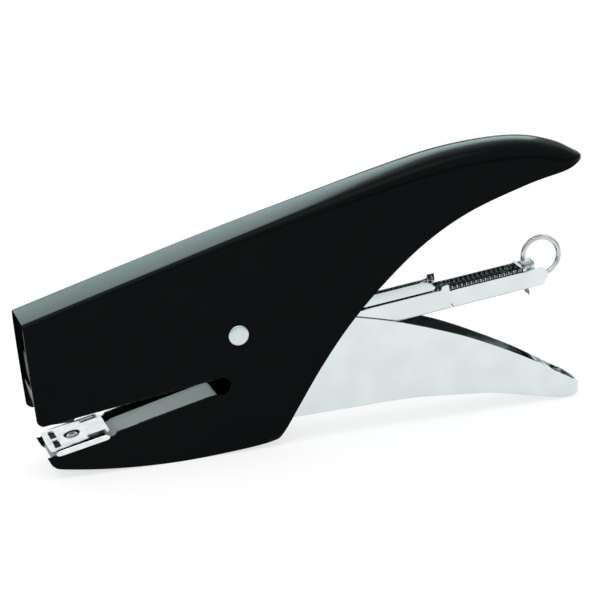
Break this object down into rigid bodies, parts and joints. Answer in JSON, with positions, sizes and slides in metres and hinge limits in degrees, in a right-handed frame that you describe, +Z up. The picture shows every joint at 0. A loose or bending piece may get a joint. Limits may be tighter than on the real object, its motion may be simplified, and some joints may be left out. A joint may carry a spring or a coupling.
{
  "type": "plier stapler",
  "caption": "Hand-held plier stapler with a hollow black steel body, a sprung chrome lever, a tilting staple magazine with a pull-out rail and ring, and a chrome anvil on its lower jaw.",
  "frame": {"origin": "centre of the bounding box at its bottom, on the surface that the stapler stands on", "axes": "+X back from the nose towards the grips, +Y across the stapler, +Z up"},
  "size_m": [0.1866, 0.0196, 0.0906],
  "materials": {
    "black_enamel": "glossy stoved enamel",
    "grey_coat": "thin satin grey coat",
    "chrome": "bright chrome plate",
    "bright_steel": "bright zinc plate",
    "spring_steel": "drawn spring wire",
    "dark_steel": "blackened"
  },
  "bodies": {
    "body": {"body_shell": "black_enamel", "jaw_channel": "black_enamel", "anvil_plate": "chrome", "anvil_clip": "chrome", "anvil_rivet": "bright_steel", "anvil_spacer": "dark_steel", "main_rivet": "bright_steel", "pivot_bush": "dark_steel", "return_leaf": "spring_steel", "leaf_saddle": "dark_steel"},
    "handle": {"lower_handle": "chrome", "handle_cross_tab": "chrome", "driver_blade": "bright_steel", "driver_pin": "spring_steel"},
    "magazine": {"magazine_channel": "chrome", "magazine_cover": "chrome", "staple_guide": "dark_steel", "staple_strip": "bright_steel", "lever_spring": "spring_steel"},
    "rail": {"core_rail": "chrome", "rail_hook": "dark_steel", "rod_bracket": "chrome", "pull_ring_rod": "bright_steel", "follower_spring": "spring_steel"},
    "follower": {"follower": "dark_steel"}
  },
  "joints": [
    {"name": "handle_squeeze", "type": "hinge", "parent": "body", "child": "handle", "pos_m": [-0.026, 0, 0.0394], "axis": [0, -1, 0], "range_deg": [0, 15], "stiffness_Nm_per_rad": 2, "springref_deg": -20.05, "deforming": ["lever_spring"]},
    {"name": "magazine_tilt", "type": "hinge", "parent": "body", "child": "magazine", "pos_m": [-0.026, 0, 0.0394], "axis": [0, -1, 0], "range_deg": [0, 6.3], "deforming": ["return_leaf"]},
    {"name": "rail_pull", "type": "slide", "parent": "magazine", "child": "rail", "axis": [0.9938, 0, 0.1113], "range_m": [0, 0.09]},
    {"name": "follower_slide", "type": "slide", "parent": "rail", "child": "follower", "axis": [0.9938, 0, 0.1113], "range_m": [0, 0.05], "stiffness_N_per_m": 40, "springref_m": -0.06, "deforming": ["follower_spring"]}
  ],
  "couplings": [
    {"joint": "magazine_tilt", "follows": "handle_squeeze", "ratio": 0.42}
  ]
}
